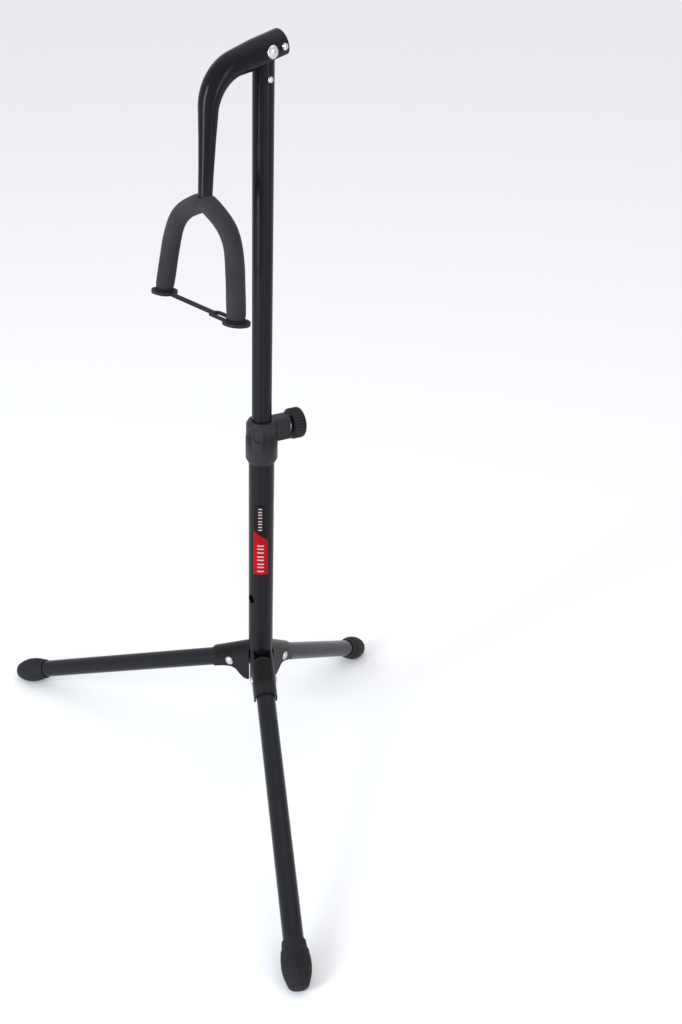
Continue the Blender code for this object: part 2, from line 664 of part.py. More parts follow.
def build_strap(hinge):
    """Elastic strap: a ring on the left tip, a narrow band and a long eyelet hooked over the right tip."""
    apex = APEX + yoke_down() * (YOKE_DROP + FOAM_TIP + GAP)
    frame = axis_frame(apex, yoke_down(), BACKWARD)
    flip = 1.0 if (frame.to_3x3() @ RIGHTWARD).x > 0.0 else -1.0
    z0, z1 = STRAP_Z
    ring_out, ring_in = STRAP_RING
    eyelet_out, eyelet_in = STRAP_EYELET

    def lozenge(x0, x1, r, lo, hi):
        """Round-ended plate from x0 to x1."""
        ends = [(x1, -90.0), (x0, 90.0)]
        outline = []
        for x, first in ends:
            for i in range(13):
                a = math.radians(first + 15.0 * i)
                outline.append((flip * (x + r * math.cos(a)), r * math.sin(a)))
        return prism(outline, lo, hi, frame)

    left, right = -YOKE_HALF, YOKE_HALF
    obj = mesh_object("neck_strap", lozenge(left - 0.01, left + 0.01, ring_out, z0, z1), "rubber_grey")
    combine(obj, lozenge(right, right + 1.0, ring_out, z0, z1), "UNION")
    combine(obj, lozenge(EYELET_X[0], right, eyelet_out, z0 + 0.15, z1 - 0.15), "UNION")
    combine(obj, lozenge(left + 9.5, 22.0, STRAP_BAND, z0 + 0.3, z1 - 0.3), "UNION")
    cut(obj, lozenge(left - 0.01, left + 0.01, ring_in, z0 - 2.0, z1 + 2.0))
    cut(obj, lozenge(right, right + 0.01, ring_in, z0 - 2.0, z1 + 2.0))
    cut(obj, lozenge(EYELET_X[1], right, eyelet_in, z0 - 2.0, z1 + 2.0))
    place(obj, hinge)


def main():
    clear_scene()
    build_lower_tube()
    sticker("label_upper", "label_dark", 316.8, 27.0, (292.0, 283.5), (320.0, 320.0))
    sticker("label_lower", "label_red", 319.7, 33.3, (243.0, 243.0), (292.0, 281.6))
    build_column_fittings()
    build_upper_tube()
    build_pivot_insert()
    build_collar()
    build_clamp_screw()
    build_knob()
    build_hub()
    build_hub_fixings()
    for name, az, radius in LEGS:
        build_leg(name, az, radius)
    build_neck_arm()
    build_yoke()


main()
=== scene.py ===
"""Looks of a folding guitar rack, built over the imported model."""

import json
import math

import bmesh
import bpy
from mathutils import Matrix, Vector, noise

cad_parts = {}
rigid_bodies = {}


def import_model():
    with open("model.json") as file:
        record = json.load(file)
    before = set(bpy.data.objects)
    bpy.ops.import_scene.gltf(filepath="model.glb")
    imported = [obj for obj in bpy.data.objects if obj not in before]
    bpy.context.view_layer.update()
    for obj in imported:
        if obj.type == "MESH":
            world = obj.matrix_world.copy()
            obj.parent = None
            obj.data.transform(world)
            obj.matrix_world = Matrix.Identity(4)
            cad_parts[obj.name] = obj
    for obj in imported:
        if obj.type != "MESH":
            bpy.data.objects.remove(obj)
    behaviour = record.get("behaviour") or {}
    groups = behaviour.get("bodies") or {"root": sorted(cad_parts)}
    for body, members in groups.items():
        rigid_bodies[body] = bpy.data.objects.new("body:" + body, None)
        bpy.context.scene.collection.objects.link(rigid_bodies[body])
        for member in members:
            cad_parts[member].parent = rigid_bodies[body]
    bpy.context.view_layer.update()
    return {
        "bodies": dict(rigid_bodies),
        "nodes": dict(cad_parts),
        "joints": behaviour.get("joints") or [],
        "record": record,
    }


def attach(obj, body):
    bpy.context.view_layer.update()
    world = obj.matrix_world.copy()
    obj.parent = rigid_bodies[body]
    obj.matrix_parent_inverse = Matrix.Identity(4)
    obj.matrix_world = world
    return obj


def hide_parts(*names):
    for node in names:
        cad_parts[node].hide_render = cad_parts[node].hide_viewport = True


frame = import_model()

# Lengths are in millimetres here and are scaled to metres when an object is made.
MM = 0.001
GAP = 0.3
# The row origin is the centre of the base of the bounding box; the column stands off it by this much.
COLUMN_X = 13.16
COLUMN_Y = -25.458

# Column
LOWER_R = 12.5
LOWER_WALL = 1.2
LOWER_Z = (147.0, 386.0)
UPPER_R = 9.5
UPPER_WALL = 1.2
UPPER_Z = (168.0, 734.0)
LOCK_HOLE_Z = 211.0
LOCK_HOLE_R = 4.6

# Plain printed bars on the labels: bottoms of the bars, their height and half angle
LABEL_MARKS_UPPER = ((293.0, 296.2, 299.6, 302.6, 306.4, 309.8, 312.8, 316.2), 1.1, 8.5)
LABEL_MARKS_LOWER = ((246.0, 250.6, 254.2, 258.8, 262.6, 267.2, 271.4, 275.0), 1.4, 14.5)

# Legs: name, heading of the leg seen from above, radius at the middle of the foot
LEGS = (
    ("left", 202.9, 307.7),
    ("right", 327.6, 305.4),
    ("rear", 111.8, 226.9),
)
LEG_R = 9.5
LEG_WALL = 1.2
LEG_APEX_Z = 141.0
FOOT_Z = 14.4
PIVOT_RHO = 31.0
PIVOT_DROP = 1.0
LEG_STUB = 4.4
LEG_IN_FOOT = 31.4
FOOT_LENGTH = 43.0
FOOT_BORE = (9.8, 32.0)
FOOT_PROFILE = (
    (10.7, 0.0), (11.0, 0.6), (11.8, 8.0), (12.7, 8.8), (13.7, 17.0), (13.8, 23.0), (13.1, 29.0),
    (11.9, 33.8), (10.3, 38.2), (9.0, 41.2), (7.6, 42.5), (5.6, 43.0),
)
RIVET_SHANK = 3.0
RIVET_HOLE = 3.3

# Hub pressing
ARM_END = 57.0
ARM_STEEPER = 4.0
ARM_HALF_IN = 9.85
ARM_HALF_OUT = 11.85
ARM_ROOF_GAP = 0.45
SHEET = 2.1
FLANGE_DROP = (
    (7.9, 26.6), (10.0, 26.3), (12.5, 25.2), (15.1, 22.9), (18.9, 18.3), (23.4, 12.2), (27.0, 9.4),
    (31.0, 7.9), (40.0, 6.5), (57.0, 6.0),
)
PLATE_Z = (136.0, 138.5)
BOSS_R = 9.0

# Clamp collar and knob
COLLAR_PROFILE = ((13.4, 363.5), (15.5, 367.5), (15.5, 389.0), (15.0, 390.0), (15.0, 403.0), (12.8, 406.5))
CLAMP_HEADING = 79.0
CLAMP_Z = 396.0
BOSS_END = 27.0
KNOB_SPAN = (29.8, 42.0)
KNOB_R = 15.0
KNOB_LOBES = 30

# Neck arm
HINGE_Z = 741.0
TAIL_LENGTH = 17.8
TAIL_R = 12.4
TAIL_RIVET_BACK = 13.2
TAIL_SLOPE = 13.6
STEM_SLOPE = 86.35
BEND_RADIUS = 38.0
BEND_CORNER = 57.6
ARM_WALL = 1.2
ARM_SLOT_FRONT = 13.4
INSERT_RIVET_Z = 718.6

# Yoke
APEX = Vector((0.0, -62.0, 624.7))
YOKE_LEAN = 5.5
YOKE_CURVE = ((0.0, 0.0), (47.2, 17.5), (42.8, 24.9), (53.0, 86.6))
YOKE_HALF, YOKE_DROP = YOKE_CURVE[3]
TIP_LENGTH = 5.5
FOAM_TIP = 1.4
ROD_R = 4.0
FOAM_R = (4.4, 8.7)

# Bores and heads of the rivets
INSERT_RIVET_BORE = 2.3
HINGE_BORE = 3.8
TAIL_BORE = 1.8
INSERT_RIVET_SIZE = (2.0, 2.7, 1.4)
HINGE_RIVET_SIZE = (3.5, 5.6, 2.4)
LEG_RIVET_HEAD = (4.6, 2.0)
CUT_REACH = 15.0

# Turned profiles as (radius, height along the axis)
INSERT_PLUG = ((0.0, 690.0), (7.4, 690.0), (8.0, 691.0), (8.0, UPPER_Z[1] + GAP),
               (UPPER_R, UPPER_Z[1] + GAP))
COLLAR_BORE = ((9.8, 406.5), (9.8, LOWER_Z[1] + GAP), (LOWER_R + GAP, LOWER_Z[1] + GAP),
               (LOWER_R + GAP, 363.5))
CLAMP_SCREW = ((0.0, 12.4), (2.4, 12.4), (3.0, 13.0), (3.0, 37.6), (2.6, 38.0), (0.0, 38.0))
CLAMP_WASHER = ((8.2, 27.3), (8.2, 28.3), (3.4, 28.3), (3.4, 27.3))
BASE_WASHER = ((4.4, 134.2), (10.0, 134.2), (10.0, 135.7), (4.4, 135.7))
BASE_SHANK = ((0.0, 133.9), (4.0, 133.9), (4.0, 159.4), (3.4, 160.0), (0.0, 160.0))
BASE_HEAD = ((0.0, 128.4), (6.3, 128.4), (7.2, 129.2), (7.2, 133.9), (0.0, 133.9))
TAIL_STUB = ((0.0, 10.3), (1.5, 10.3), (1.5, 12.7), (3.0, 12.7), (2.7, 13.4), (1.6, 14.0), (0.0, 14.2))
TIP_PROFILE = ((0.0, 4.4), (4.3, 4.4), (4.3, 0.0), (8.5, 0.0), (8.9, 0.3), (8.9, 0.9), (8.5, 1.2),
               (8.2, 1.2), (8.2, 4.6), (8.7, 4.6), (8.9, 4.9), (8.6, 5.4), (7.6, 5.8), (0.0, 6.2))

# Boss on the side of the collar, seen end on: (across, height), and the groove down its front
BOSS_OUTLINE = ((-8.0, 384.5), (-4.0, 382.5), (4.0, 382.5), (8.0, 384.5), (8.0, 404.5), (6.5, 406.2),
                (-6.5, 406.2), (-8.0, 404.5))
BOSS_START = 11.2
GROOVE_HEADING = 307.0
GROOVE_STEPS = ((391.0, 410.0, 4.3), (388.6, 391.2, 3.3))

# Neck arm outside its straight tail
BEND_START_R = 11.2
BEND_END_R = 8.7
BEND_SWELL = 2.4
STEM_RADII = ((675.0, 7.5), (652.0, 6.7), (629.3, 6.25))

# Elastic strap: heights of its band in the groove, half widths of ring, eyelet, slot and band
STRAP_Z = (1.5, 4.3)
STRAP_RING = (12.0, 8.5)
STRAP_EYELET = (6.4, 3.4)
STRAP_BAND = 2.6
EYELET_X = (25.0, 27.0)

RIGHTWARD = Vector((1.0, 0.0, 0.0))
BACKWARD = Vector((0.0, 1.0, 0.0))

# Detail of the looks: segments of a full turn, the labels, the grip pads of a foot as
# (start, end, pitch) along it and round it, the dents of the foam, and the floor
ROUND = 64
FINE = 40
LABEL_THICK = 0.3
BAR_RAISED = 0.04
GRIP_ALONG = (19.0, 36.0, 3.4)
GRIP_ROUND = (25.0, 155.0, 26.0)
GRIP_DEPTH = 0.5
FOAM_STEPS = 132
FOAM_ROUND = 72
FOAM_DENT = 0.16
FLOOR_HALF = 9.0
FLOOR_Z = -0.0004


RECORD = frame["record"]
NODE_SLOT = {part["node"]: part["material_slot"] for part in RECORD["subparts"]}
NODE_BODY = {node: body for body, nodes in RECORD["behaviour"]["bodies"].items() for node in nodes}
EDGE_ROUND = {
    "leg_hub": 0.45, "clamp_collar": 0.55, "pivot_insert": 0.4, "neck_strap": 0.8,
    "base_screw": 0.3, "lower_tube": 0.25, "upper_tube": 0.25, "clamp_washer": 0.2, "base_washer": 0.2,
}

# Finish of each material slot: dark tone, light tone, roughness, metallic, specular level, kind of grain,
# grain size in mm, bump height in mm
FINISHES = {
    "tube_black": ((0.004, 0.004, 0.0055), (0.0055, 0.0056, 0.008), 0.24, 0.0, 0.14, "coat", 0.9, 0.012),
    "hub_black": ((0.004, 0.004, 0.0045), (0.0065, 0.0064, 0.007), 0.34, 0.0, 0.12, "coat", 0.8, 0.025),
    "plastic_dark": ((0.0065, 0.0065, 0.0075), (0.012, 0.012, 0.0135), 0.42, 0.0, 0.16,
                     "stipple", 0.45, 0.06),
    "rubber_grey": ((0.008, 0.008, 0.009), (0.015, 0.015, 0.0163), 0.62, 0.0, 0.14, "rubber", 0.6, 0.07),
    "foam_grey": ((0.014, 0.014, 0.016), (0.028, 0.028, 0.032), 0.78, 0.0, 0.12, "foam", 0.55, 0.2),
    "rivet_steel": ((0.5, 0.5, 0.52), (0.66, 0.66, 0.67), 0.24, 1.0, 0.5, "metal", 0.7, 0.03),
    "screw_steel": ((0.36, 0.36, 0.38), (0.5, 0.5, 0.52), 0.32, 1.0, 0.5, "metal", 0.6, 0.04),
    "brass": ((0.5, 0.36, 0.14), (0.64, 0.48, 0.22), 0.3, 1.0, 0.5, "metal", 0.6, 0.04),
    "nylon": ((0.5, 0.49, 0.45), (0.62, 0.61, 0.57), 0.45, 0.0, 0.4, "stipple", 0.5, 0.03),
    "label_dark": ((0.0015, 0.0015, 0.002), (0.003, 0.003, 0.0035), 0.3, 0.0, 0.16, "film", 2.0, 0.015),
    "label_red": ((0.26, 0.001, 0.006), (0.36, 0.003, 0.011), 0.34, 0.0, 0.1, "film", 2.0, 0.015),
    "print_white": ((0.42, 0.3, 0.3), (0.52, 0.4, 0.4), 0.4, 0.0, 0.2, "film", 1.5, 0.01),
}


class Graph:
    """Short helper for wiring shader nodes."""

    def __init__(self, tree):
        self.nodes = tree.nodes
        self.links = tree.links

    def add(self, kind, values=None, **settings):
        node = self.nodes.new(kind)
        for key, value in settings.items():
            setattr(node, key, value)
        for socket, value in (values or {}).items():
            node.inputs[socket].default_value = value
        return node

    def link(self, source, target):
        self.links.new(source, target)

    def mix(self, factor, low, high):
        node = self.add("ShaderNodeMix", data_type="RGBA")
        self.link(factor, node.inputs[0])
        for index, value in ((6, low), (7, high)):
            if isinstance(value, tuple):
                node.inputs[index].default_value = (*value, 1.0)
            else:
                self.link(value, node.inputs[index])
        return node.outputs[2]

    def ramp(self, factor, low, high, dark=0.0, light=1.0):
        node = self.add("ShaderNodeMapRange", {1: low, 2: high, 3: dark, 4: light})
        self.link(factor, node.inputs[0])
        return node.outputs[0]


def grain_texture(graph, where, kind, size):
    """Fine relief of a finish: its height from 0 to 1. Size is in millimetres."""
    scale = 1000.0 / size
    noise = graph.add("ShaderNodeTexNoise", {"Scale": scale, "Detail": 3.0, "Roughness": 0.55})
    graph.link(where, noise.inputs["Vector"])
    if kind in ("coat", "metal", "film"):
        return noise.outputs["Fac"]
    cells = graph.add("ShaderNodeTexVoronoi", {"Scale": scale * 1.3, "Randomness": 1.0})
    graph.link(where, cells.inputs["Vector"])
    share = {"stipple": 0.5, "rubber": 0.3, "foam": 0.75}[kind]
    both = graph.add("ShaderNodeMix", {0: share}, data_type="FLOAT")
    graph.link(noise.outputs["Fac"], both.inputs[2])
    graph.link(cells.outputs["Distance"], both.inputs[3])
    return both.outputs[0]


def material(slot):
    """Procedural finish for a material slot."""
    found = bpy.data.materials.get(slot)
    if found and found.get("finished"):
        return found
    dark, light, rough, metal, specular, kind, size, height = FINISHES[slot]
    mat = bpy.data.materials.new(slot)
    if mat.name != slot:
        found.name = slot + "_plain"
        mat.name = slot
    mat["finished"] = True
    mat.use_nodes = True
    graph = Graph(mat.node_tree)
    shader = mat.node_tree.nodes["Principled BSDF"]
    shader.inputs["Metallic"].default_value = metal
    shader.inputs["Specular IOR Level"].default_value = specular
    where = graph.add("ShaderNodeTexCoord").outputs["Object"]
    broad = graph.add("ShaderNodeTexNoise", {"Scale": 38.0, "Detail": 4.0, "Roughness": 0.6})
    graph.link(where, broad.inputs["Vector"])
    tone = graph.mix(graph.ramp(broad.outputs["Fac"], 0.3, 0.7), dark, light)
    relief = grain_texture(graph, where, kind, size)
    speck = graph.ramp(relief, 0.35, 0.75)
    lighter = tuple(min(1.0, c * 1.5 + 0.001) for c in light)
    speckle = 0.45 if kind in ("foam", "rubber") else 0.18
    tone = graph.mix(graph.ramp(speck, 0.0, 1.0, 0.0, speckle), tone, lighter)
    # painted highlight: sharp convex edges get a paler tone
    tone = painted_edge_highlight(graph, tone, light, kind)
    graph.link(tone, shader.inputs["Base Color"])
    smear = graph.add("ShaderNodeTexNoise", {"Scale": 90.0, "Detail": 5.0, "Roughness": 0.65})
    graph.link(where, smear.inputs["Vector"])
    spread = 0.05
    rub = graph.ramp(smear.outputs["Fac"], 0.3, 0.7, rough - spread, rough + spread)
    graph.link(rub, shader.inputs["Roughness"])
    bump = graph.add("ShaderNodeBump", {"Strength": 0.6, "Distance": height * MM})
    graph.link(relief, bump.inputs["Height"])
    graph.link(bump.outputs["Normal"], shader.inputs["Normal"])
    if kind == "coat":
        shader.inputs["Coat Weight"].default_value = 0.03
        shader.inputs["Coat Roughness"].default_value = 0.18
    if kind == "foam":
        shader.inputs["Sheen Weight"].default_value = 0.06
        shader.inputs["Sheen Roughness"].default_value = 0.55
    if kind == "metal":
        shader.inputs["Anisotropic"].default_value = 0.4
    return mat


def painted_edge_highlight(graph, tone, light, kind):
    """Painted highlight: slightly paler tone where the surface turns sharply, standing in for light catching
    the edge.
    """
    if kind not in ("coat", "stipple", "rubber"):
        return tone
    point = graph.add("ShaderNodeNewGeometry").outputs["Pointiness"]
    # painted highlight: pointiness picks out sharp convex edges, which are lightened
    edge = graph.ramp(point, 0.53, 0.6, 0.0, 0.5)
    return graph.mix(edge, tone, tuple(min(1.0, c * 2.4 + 0.004) for c in light))


def axis_frame(origin, direction, side=Vector((0.0, 0.0, 1.0))):
    """Matrix whose local Z runs along direction, placed at origin."""
    z = Vector(direction).normalized()
    x = side.cross(z)
    if x.length < 1e-6:
        x = Vector((1.0, 0.0, 0.0))
    x.normalize()
    y = z.cross(x)
    rows = Matrix((x, y, z)).transposed().to_4x4()
    return Matrix.Translation(Vector(origin)) @ rows


def heading(deg):
    a = math.radians(deg)
    return Vector((math.cos(a), math.sin(a), 0.0))


def tangent(deg):
    a = math.radians(deg)
    return Vector((-math.sin(a), math.cos(a), 0.0))


def loft(rings, closed=False):
    """Solid through rings of points; a ring of one point is a pole."""
    bm = bmesh.new()
    made = [[bm.verts.new(p) for p in ring] for ring in rings]
    pairs = list(zip(made, made[1:]))
    if closed:
        pairs.append((made[-1], made[0]))
    for a, b in pairs:
        n = max(len(a), len(b))
        for i in range(n):
            j = (i + 1) % n
            if len(a) == 1:
                bm.faces.new((a[0], b[j], b[i]))
            elif len(b) == 1:
                bm.faces.new((a[i], a[j], b[0]))
            else:
                bm.faces.new((a[i], a[j], b[j], b[i]))
    if not closed:
        for ring in (made[0], made[-1]):
            if len(ring) > 2:
                bm.faces.new(ring)
    bmesh.ops.recalc_face_normals(bm, faces=bm.faces)
    return bm


def ellipse(matrix, rx, ry, segments):
    if rx < 1e-6:
        return [matrix @ Vector((0.0, 0.0, 0.0))]
    step = 2.0 * math.pi / segments
    turns = [i * step for i in range(segments)]
    return [matrix @ Vector((rx * math.cos(a), ry * math.sin(a), 0.0)) for a in turns]


def revolve(profile, matrix=None, segments=48, closed=False):
    """Solid of revolution from (radius, height) points."""
    base = matrix or Matrix()
    rings = [ellipse(base @ Matrix.Translation((0.0, 0.0, h)), r, r, segments) for r, h in profile]
    return loft(rings, closed)


def pipe(r_out, r_in, z0, z1, matrix=None, segments=48, chamfer=0.0):
    c = chamfer
    profile = [(r_in, z0), (r_out - c, z0), (r_out, z0 + c), (r_out, z1 - c), (r_out - c, z1), (r_in, z1)]
    if not c:
        profile = [(r_in, z0), (r_out, z0), (r_out, z1), (r_in, z1)]
    return revolve(profile, matrix, segments, closed=True)


def prism(outline, z0, z1, matrix=None):
    base = matrix or Matrix()
    rings = [[base @ Vector((x, y, z)) for x, y in outline] for z in (z0, z1)]
    return loft(rings)


def block(lo, hi, matrix=None):
    outline = ((lo[0], lo[1]), (hi[0], lo[1]), (hi[0], hi[1]), (lo[0], hi[1]))
    return prism(outline, lo[2], hi[2], matrix)


def mesh_object(name, bm, slot=None):
    mesh = bpy.data.meshes.new(name)
    bm.to_mesh(mesh)
    bm.free()
    obj = bpy.data.objects.new("seen_" + name, mesh)
    bpy.context.scene.collection.objects.link(obj)
    if slot:
        mesh.materials.append(material(slot))
    return obj


def combine(obj, bm, operation):
    """Join, cut or intersect obj with a closed mesh."""
    tool = mesh_object("tool", bm)
    mod = obj.modifiers.new("combine", "BOOLEAN")
    mod.operation = operation
    mod.solver = "EXACT"
    mod.object = tool
    depsgraph = bpy.context.evaluated_depsgraph_get()
    result = bpy.data.meshes.new_from_object(obj.evaluated_get(depsgraph))
    obj.modifiers.clear()
    old = obj.data
    obj.data = result
    bpy.data.meshes.remove(old)
    tool_mesh = tool.data
    bpy.data.objects.remove(tool, do_unlink=True)
    bpy.data.meshes.remove(tool_mesh)


def cut(obj, bm):
    combine(obj, bm, "DIFFERENCE")


def place(obj):
    """Bring a piece to metres, round its edges and set it on its body in place of its CAD node."""
    node = obj.name[len("seen_"):]
    mesh = obj.data
    shift = Matrix.Translation(Vector((COLUMN_X, COLUMN_Y, 0.0)))
    mesh.transform(Matrix.Scale(MM, 4) @ shift)
    for poly in mesh.polygons:
        poly.use_smooth = True
    mesh.set_sharp_from_angle(angle=math.radians(32.0))
    if node in EDGE_ROUND:
        soften(obj, EDGE_ROUND[node])
    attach(obj, NODE_BODY[node])
    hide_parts(node)
    return obj


def soften(obj, width):
    mod = obj.modifiers.new("edges", "BEVEL")
    mod.width = width * MM
    mod.segments = 2
    mod.limit_method = "ANGLE"
    mod.angle_limit = math.radians(38.0)
    mod.harden_normals = True
    mod.miter_outer = "MITER_ARC"


def rivet(name, center, direction, reach, shank, head, dome, slot="rivet_steel"):
    """Rivet with a domed head at each end; reach is from the middle to under a head."""
    profile = [(0.0, -reach - dome), (head * 0.55, -reach - dome * 0.85), (head * 0.9, -reach - dome * 0.4)]
    profile += [(head, -reach), (shank, -reach), (shank, reach), (head, reach)]
    profile += [(head * 0.9, reach + dome * 0.4), (head * 0.55, reach + dome * 0.85), (0.0, reach + dome)]
    return mesh_object(name, revolve(profile, axis_frame(center, direction), 40), slot)


# ---------------------------------------------------------------- column


def build_lower_tube():
    obj = mesh_object("lower_tube", pipe(LOWER_R, LOWER_R - LOWER_WALL, *LOWER_Z, segments=64), "tube_black")
    frame = axis_frame((0.0, 0.0, LOCK_HOLE_Z), -BACKWARD)
    cut(obj, revolve([(LOCK_HOLE_R, 5.0), (LOCK_HOLE_R, 16.0)], frame, FINE))
    place(obj)


def label_patch(facing, half_angle, bottom, top, inner, outer, steps):
    """Curved patch round the lower tube; bottom and top give the edge heights at its two ends."""
    rings = []
    for i in range(steps + 1):
        share = i / steps
        out = heading(facing + half_angle * (2.0 * share - 1.0))
        z0 = bottom[0] + (bottom[1] - bottom[0]) * share
        z1 = top[0] + (top[1] - top[0]) * share
        corners = ((inner, z0), (outer, z0), (outer, z1), (inner, z1))
        rings.append([out * r + Vector((0.0, 0.0, z)) for r, z in corners])
    return loft(rings)


def sticker(name, slot, facing, half_angle, bottom, top, marks):
    """Thin curved label with a column of plain printed bars where a name would be."""
    inner = LOWER_R + GAP
    outer = inner + LABEL_THICK
    obj = mesh_object(name, label_patch(facing, half_angle, bottom, top, inner, outer, 24), slot)
    bars = bmesh.new()
    bars.from_mesh(obj.data)
    plain = len(bars.faces)
    bottoms, tall, half = marks
    for z0 in bottoms:
        z1 = z0 + tall
        bar = label_patch(facing, half, (z0, z0), (z1, z1), outer - 0.1, outer + BAR_RAISED, 8)
        scratch = bpy.data.meshes.new("bar")
        bar.to_mesh(scratch)
        bar.free()
        bars.from_mesh(scratch)
        bpy.data.meshes.remove(scratch)
    bars.faces.ensure_lookup_table()
    for face in bars.faces[plain:]:
        face.material_index = 1
    bars.to_mesh(obj.data)
    bars.free()
    obj.data.materials.append(material("print_white"))
    place(obj)


def cut_across(obj, center, radius, segments):
    """Round hole from side to side."""
    cut(obj, revolve([(radius, -CUT_REACH), (radius, CUT_REACH)], axis_frame(center, RIGHTWARD), segments))


def build_upper_tube():
    obj = mesh_object("upper_tube", pipe(UPPER_R, UPPER_R - UPPER_WALL, *UPPER_Z, segments=64), "tube_black")
    cut_across(obj, (0.0, 0.0, INSERT_RIVET_Z), INSERT_RIVET_BORE, 28)
    place(obj)


def build_pivot_insert():
    """Plug in the top of the column with a round head that carries the arm."""
    profile = list(INSERT_PLUG)
    profile += [(UPPER_R * math.cos(math.radians(a)), HINGE_Z + UPPER_R * math.sin(math.radians(a)))
                for a in (0, 15, 30, 45, 60, 75)]
    profile.append((0.0, HINGE_Z + UPPER_R))
    obj = mesh_object("pivot_insert", revolve(profile, segments=72), "hub_black")
    cut_across(obj, (0.0, 0.0, HINGE_Z), HINGE_BORE, FINE)
    rivet_at = (0.0, 0.0, INSERT_RIVET_Z)
    cut_across(obj, rivet_at, INSERT_RIVET_BORE, 28)
    place(obj)
    place(rivet("insert_rivet", rivet_at, RIGHTWARD, UPPER_R + GAP, *INSERT_RIVET_SIZE))


# ---------------------------------------------------------------- clamp


def clamp_frame():
    return axis_frame((0.0, 0.0, CLAMP_Z), heading(CLAMP_HEADING))


def build_collar():
    ring = revolve(COLLAR_PROFILE + COLLAR_BORE, segments=ROUND, closed=True)
    obj = mesh_object("clamp_collar", ring, "plastic_dark")
    turn = Matrix.Rotation(math.radians(CLAMP_HEADING), 4, "Z")
    lay = turn @ Matrix(((0, 0, 1, 0), (1, 0, 0, 0), (0, 1, 0, 0), (0, 0, 0, 1)))
    combine(obj, prism(BOSS_OUTLINE, BOSS_START, BOSS_END, lay), "UNION")
    cut(obj, revolve([(LOWER_R + GAP, 360.0), (LOWER_R + GAP, LOWER_Z[1] + GAP)], segments=80))
    cut(obj, revolve([(3.55, 5.0), (3.55, 32.0)], clamp_frame(), 20))
    cut(obj, revolve([(5.9, 16.7), (5.9, 22.3)], clamp_frame(), 6))
    groove = Matrix.Rotation(math.radians(GROOVE_HEADING), 4, "Z")
    for z0, z1, half_w in GROOVE_STEPS:
        cut(obj, block((13.9, -half_w, z0), (18.0, half_w, z1), groove))
    place(obj)


def build_clamp_screw():
    frame = clamp_frame()
    place(mesh_object("clamp_screw", revolve(CLAMP_SCREW, frame, 32), "screw_steel"))
    place(mesh_object("clamp_washer", revolve(CLAMP_WASHER, frame, 48, closed=True), "screw_steel"))


# ---------------------------------------------------------------- hub and legs


def leg_slope(radius):
    return math.atan2(LEG_APEX_Z - FOOT_Z, radius)


def leg_point(az, radius, rho, lift=0.0):
    return heading(az) * rho + Vector((0.0, 0.0, LEG_APEX_Z - math.tan(leg_slope(radius)) * rho + lift))


def leg_pivot(az, radius):
    return leg_point(az, radius, PIVOT_RHO, -PIVOT_DROP)


def flange_drop(rho):
    table = FLANGE_DROP
    for (r0, d0), (r1, d1) in zip(table, table[1:]):
        if rho <= r1:
            share = max(0.0, rho - r0) / (r1 - r0)
            return d0 + (d1 - d0) * share
    return table[-1][1]


def side_start(az, other):
    """Distance out from the column at which a flange starts, clear of the flange next to it."""
    half = math.radians(abs((other - az + 180.0) % 360.0 - 180.0) / 2.0)
    return max(7.0, ARM_HALF_OUT / math.tan(half) + 1.7)


def arm_section(az, radius, rho, starts):
    slope = leg_slope(radius)
    extra = math.tan(slope + math.radians(ARM_STEEPER)) - math.tan(slope)
    axis_z = LEG_APEX_Z - math.tan(slope) * rho + ARM_ROOF_GAP + (ARM_END - rho) * extra
    leg_z = LEG_APEX_Z - math.tan(slope) * rho
    rise_in = LEG_R / math.cos(slope)
    lows = [axis_z - 2.0 if rho < s - 0.05 else leg_z - flange_drop(rho) for s in starts]
    arc = [math.pi * i / 24 for i in range(25)]
    points = [(ARM_HALF_OUT, lows[0])]
    points += [(ARM_HALF_OUT * math.cos(a), axis_z + (rise_in + SHEET) * math.sin(a)) for a in arc]
    points += [(-ARM_HALF_OUT, lows[1]), (-ARM_HALF_IN, lows[1])]
    points += [(ARM_HALF_IN * math.cos(a), axis_z + rise_in * math.sin(a)) for a in reversed(arc)]
    points.append((ARM_HALF_IN, lows[0]))
    out, side = heading(az), tangent(az)
    return [out * rho + side * t + Vector((0.0, 0.0, z)) for t, z in points]


def hub_arm(az, radius, after, before):
    """Inverted-U arm over one leg; its side flanges flare down beside the column."""
    starts = (side_start(az, after), side_start(az, before))
    rhos = {7.0, 9.0, 11.0, 13.0, 14.7, 16.0, 17.5, 19.0, 21.0, 23.0, 25.4, 27.5}
    rhos |= {30.0, 33.0, 36.0, 40.0, 48.0, ARM_END}
    for s in starts:
        rhos |= {s, s - 0.1}
    rhos = sorted(r for r in rhos if r >= min(starts))
    return loft([arm_section(az, radius, rho, starts) for rho in rhos])


